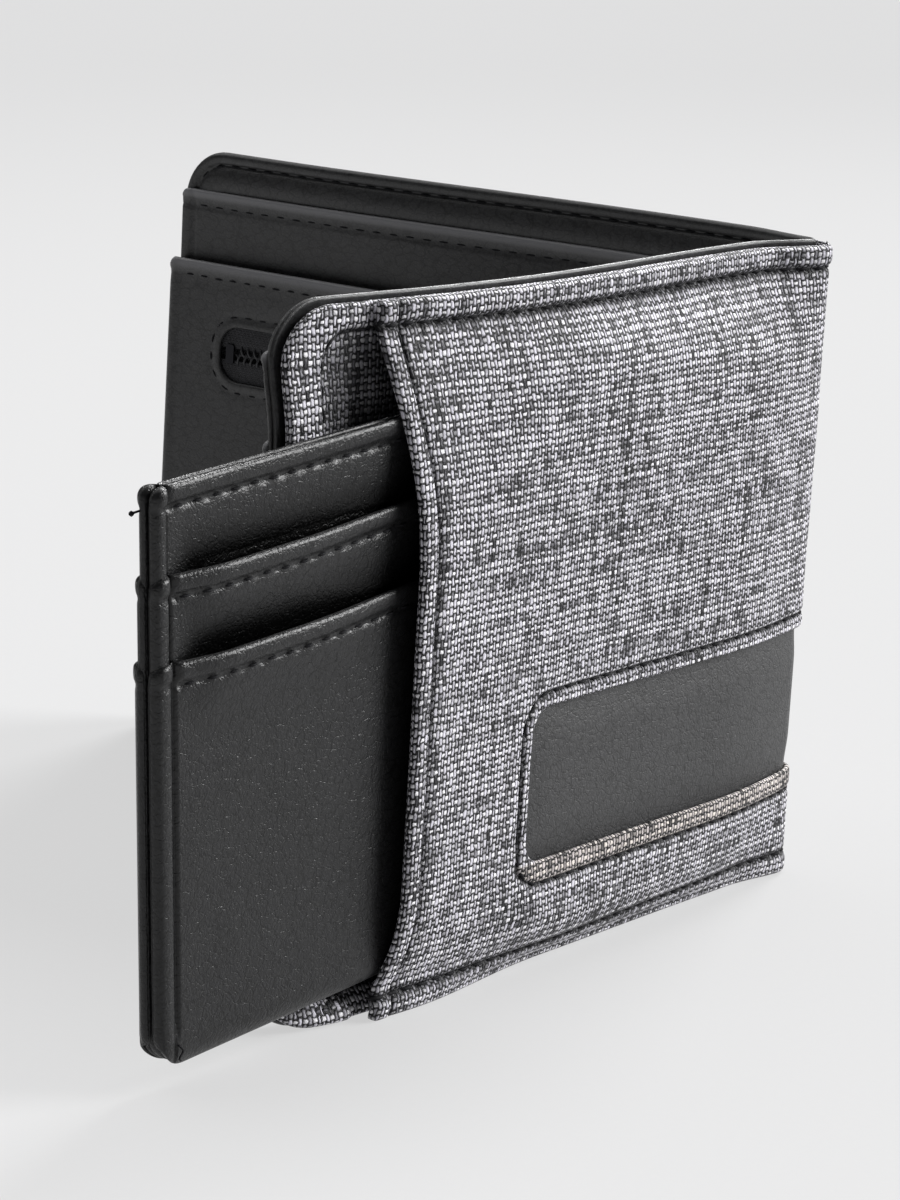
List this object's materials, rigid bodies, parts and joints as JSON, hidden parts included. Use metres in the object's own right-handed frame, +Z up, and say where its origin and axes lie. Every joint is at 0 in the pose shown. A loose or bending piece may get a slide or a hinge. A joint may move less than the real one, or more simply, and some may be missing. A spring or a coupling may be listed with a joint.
{
  "type": "bifold wallet",
  "caption": "Bifold wallet standing half open, with an outer pocket that holds a removable card holder, inner card slots and a zipped coin pocket.",
  "frame": {"origin": "foot of the spine, where the outer fabric folds, on the surface that the wallet stands on", "axes": "+Z up along the spine; the front half runs along -X from the spine and its outside faces -Y; the back half stands at 87 degrees to it, roughly along +Y"},
  "size_m": [0.143, 0.1216, 0.0906],
  "materials": {
    "grey_fabric": "heathered plain weave of light grey and near-black yarns",
    "black_leather": "satin black imitation leather with a fine grain",
    "holder_leather": "satin black imitation leather with a pebbled grain",
    "board": "plain board, hidden between the layers",
    "pouch_cloth": "thin black lining cloth",
    "zip_tape": "black woven tape",
    "zip_coil": "black nylon coil",
    "dark_metal": "black lacquered metal",
    "thread": "black sewing thread"
  },
  "bodies": {
    "front_half": {"outer_fabric_front": "grey_fabric", "window_leather_front": "black_leather", "front_shell_fabric": "grey_fabric", "front_stiffener": "board", "front_lining": "black_leather", "bill_wall_front": "black_leather", "card_slot_front_upper": "black_leather", "card_slot_front_middle": "black_leather", "card_slot_front_lower": "black_leather", "outer_fabric_spine_lower": "grey_fabric", "outer_fabric_spine_upper": "grey_fabric", "spine_leather": "black_leather", "spine_lining": "black_leather"},
    "back_half": {"outer_fabric_back": "grey_fabric", "window_leather_back": "black_leather", "back_stiffener": "board", "back_lining": "black_leather", "bill_wall_back": "black_leather", "coin_pouch_lining": "pouch_cloth", "zip_panel": "black_leather", "zip_tape_upper": "zip_tape", "zip_tape_lower": "zip_tape", "zip_coil_upper": "zip_coil", "zip_coil_lower": "zip_coil", "zip_stop_closed": "dark_metal", "zip_stop_open": "dark_metal"},
    "card_holder": {"holder_wrap": "holder_leather", "holder_front_slot_upper": "holder_leather", "holder_front_slot_lower": "holder_leather", "holder_back_slot_upper": "holder_leather", "holder_back_slot_lower": "holder_leather"},
    "zip_slider": {"zip_slider_body": "dark_metal", "zip_slider_bail": "dark_metal"},
    "zip_pull": {"zip_pull_tab": "dark_metal"}
  },
  "joints": [
    {"name": "spine_fold", "type": "hinge", "parent": "front_half", "child": "back_half", "pos_m": [-0.00543, 0.00515, 0], "axis": [0, 0, 1], "range_deg": [-93, 87], "deforming": ["outer_fabric_spine_lower", "outer_fabric_spine_upper", "spine_leather", "spine_lining"]},
    {"name": "card_holder_slide", "type": "slide", "parent": "front_half", "child": "card_holder", "axis": [0.9997, 0, 0.0244], "range_m": [-0.072, 0.018]},
    {"name": "zip_slide", "type": "slide", "parent": "back_half", "child": "zip_slider", "axis": [-0.0523, 0.9986, 0], "range_m": [0, 0.069], "deforming": ["zip_coil_upper", "zip_coil_lower"]},
    {"name": "pull_swing", "type": "hinge", "parent": "zip_slider", "child": "zip_pull", "pos_m": [-0.00664, 0.02496, 0.0604], "axis": [0, 0, 1], "range_deg": [0, 178]}
  ]
}
